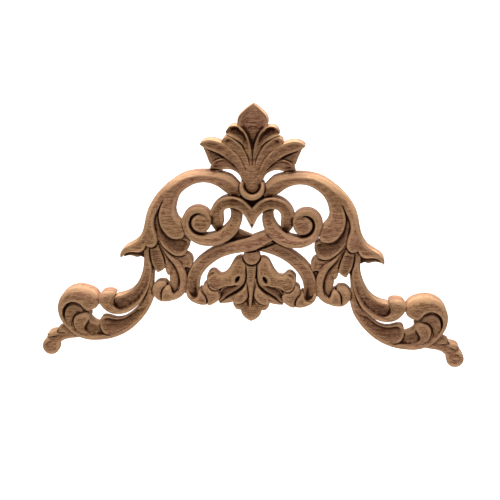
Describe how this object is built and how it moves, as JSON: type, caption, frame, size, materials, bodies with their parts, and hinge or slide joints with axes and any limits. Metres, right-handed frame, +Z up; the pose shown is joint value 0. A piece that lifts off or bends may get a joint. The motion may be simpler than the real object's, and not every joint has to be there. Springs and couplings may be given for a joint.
{
  "type": "carved wood applique",
  "caption": "Pierced carved-wood applique: a palmette over scrolls, crossed straps and a hanging flower, flat backed, to fix on furniture, a door, a panel or a wall.",
  "frame": {"origin": "On the flat back, in the middle of the place where the two straps cross.", "axes": "+X runs along the carving's long side to the viewer's right, +Y points out of the flat back into the surface it is fixed on, +Z points up towards the palmette."},
  "size_m": [0.305, 0.0155, 0.1863],
  "materials": {
    "carved_wood": "satin"
  },
  "bodies": {
    "root": {"applique": "carved_wood"}
  },
  "joints": []
}
